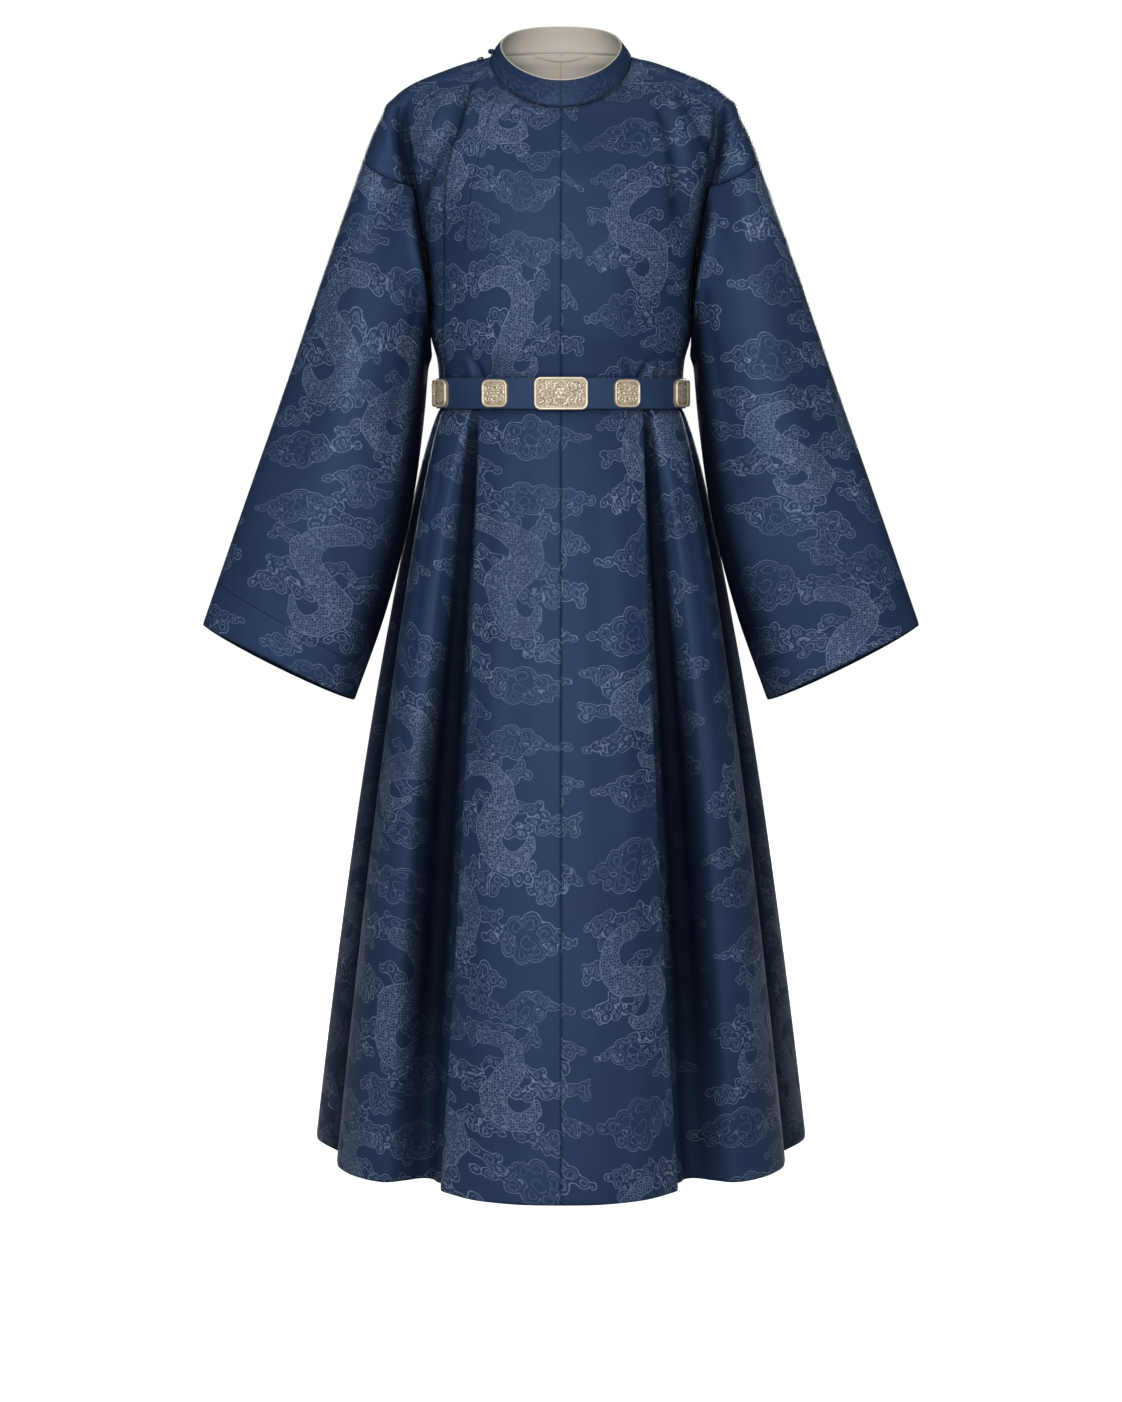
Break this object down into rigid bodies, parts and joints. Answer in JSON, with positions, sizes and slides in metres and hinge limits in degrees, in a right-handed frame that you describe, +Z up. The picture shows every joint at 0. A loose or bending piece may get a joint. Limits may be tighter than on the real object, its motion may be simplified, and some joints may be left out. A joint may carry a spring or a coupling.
{
  "type": "round-collar robe",
  "caption": "Long round-collar robe with wide hanging sleeves, front overlap, pleated flared skirt and a fastened belt with plaques, in its worn form and empty.",
  "frame": {"origin": "centre of the neck, at the height where the shoulders meet the collar, where the wearer holds the robe up", "axes": "+Z up along the body, front of the robe toward -Y, +X toward the wearer's left"},
  "size_m": [0.8298, 0.4593, 1.3248],
  "materials": {
    "satin": "navy silk satin damask with fine pale blue motif outlines, soft sheen",
    "lining": "cream plain-weave silk lining, matt",
    "belt": "navy cloth-covered stiff belt, smooth, low sheen",
    "plaque": "pale gilt plaques with scroll relief, darker in the recesses"
  },
  "bodies": {
    "root": {"front_left": "satin", "front_overlap": "satin", "front_under": "satin", "back_left": "satin", "back_right": "satin", "sleeve_left": "satin", "sleeve_right": "satin", "collar_left": "satin", "collar_right": "satin", "collar_lining": "lining", "neck_lining": "lining", "neck_tab": "lining", "neck_button": "satin", "button_loop": "satin", "belt_strap": "belt", "belt_plaque_front": "plaque", "belt_plaque_left_1": "plaque", "belt_plaque_left_2": "plaque", "belt_plaque_left_3": "plaque", "belt_plaque_right_1": "plaque", "belt_plaque_right_2": "plaque", "belt_plaque_right_3": "plaque"}
  },
  "joints": []
}
